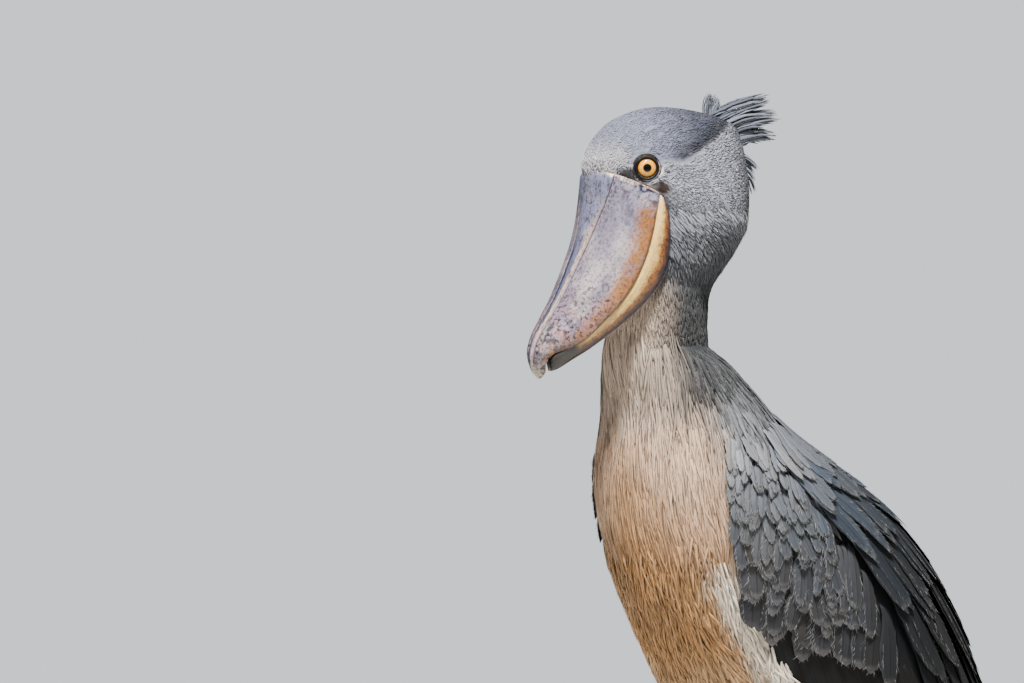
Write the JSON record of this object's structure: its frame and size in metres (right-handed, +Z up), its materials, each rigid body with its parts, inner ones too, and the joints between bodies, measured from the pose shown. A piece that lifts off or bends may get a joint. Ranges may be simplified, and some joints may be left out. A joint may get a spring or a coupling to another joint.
{
  "type": "shoebill",
  "caption": "Life-size shoebill standing upright with folded wings, a huge hooked bill held down against the neck, a small crest and long bare toes.",
  "frame": {"origin": "middle of the part's box, on the floor under the feet", "axes": "the body faces -Y, the bird's left side is +X, +Z is up; the head is turned 10 degrees to the bird's right"},
  "size_m": [0.3434, 0.6852, 1.2105],
  "materials": {
    "plumage_head": "short soft slate-grey feathers",
    "plumage_breast": "long loose grey-brown plumes, stained earthy below",
    "plumage_wing": "slate blue-grey vanes with pale edges",
    "bill_horn": "mottled horn, satin",
    "eye": "wet, clear over a golden iris",
    "leg_skin": "scaly dark grey skin",
    "claw_horn": "dark horn, satin"
  },
  "bodies": {
    "root": {"head": "plumage_head", "bill_upper": "bill_horn", "bill_lower": "bill_horn", "eye_left": "eye", "eye_right": "eye", "neck": "plumage_breast", "torso": "plumage_breast", "wing_left": "plumage_wing", "wing_right": "plumage_wing", "tail": "plumage_wing", "thigh_left": "plumage_breast", "shank_left": "leg_skin", "foot_left": "leg_skin", "toe_inner_left": "leg_skin", "claw_inner_left": "claw_horn", "toe_middle_left": "leg_skin", "claw_middle_left": "claw_horn", "toe_outer_left": "leg_skin", "claw_outer_left": "claw_horn", "toe_hind_left": "leg_skin", "claw_hind_left": "claw_horn", "thigh_right": "plumage_breast", "shank_right": "leg_skin", "foot_right": "leg_skin", "toe_inner_right": "leg_skin", "claw_inner_right": "claw_horn", "toe_middle_right": "leg_skin", "claw_middle_right": "claw_horn", "toe_outer_right": "leg_skin", "claw_outer_right": "claw_horn", "toe_hind_right": "leg_skin", "claw_hind_right": "claw_horn"}
  },
  "joints": []
}
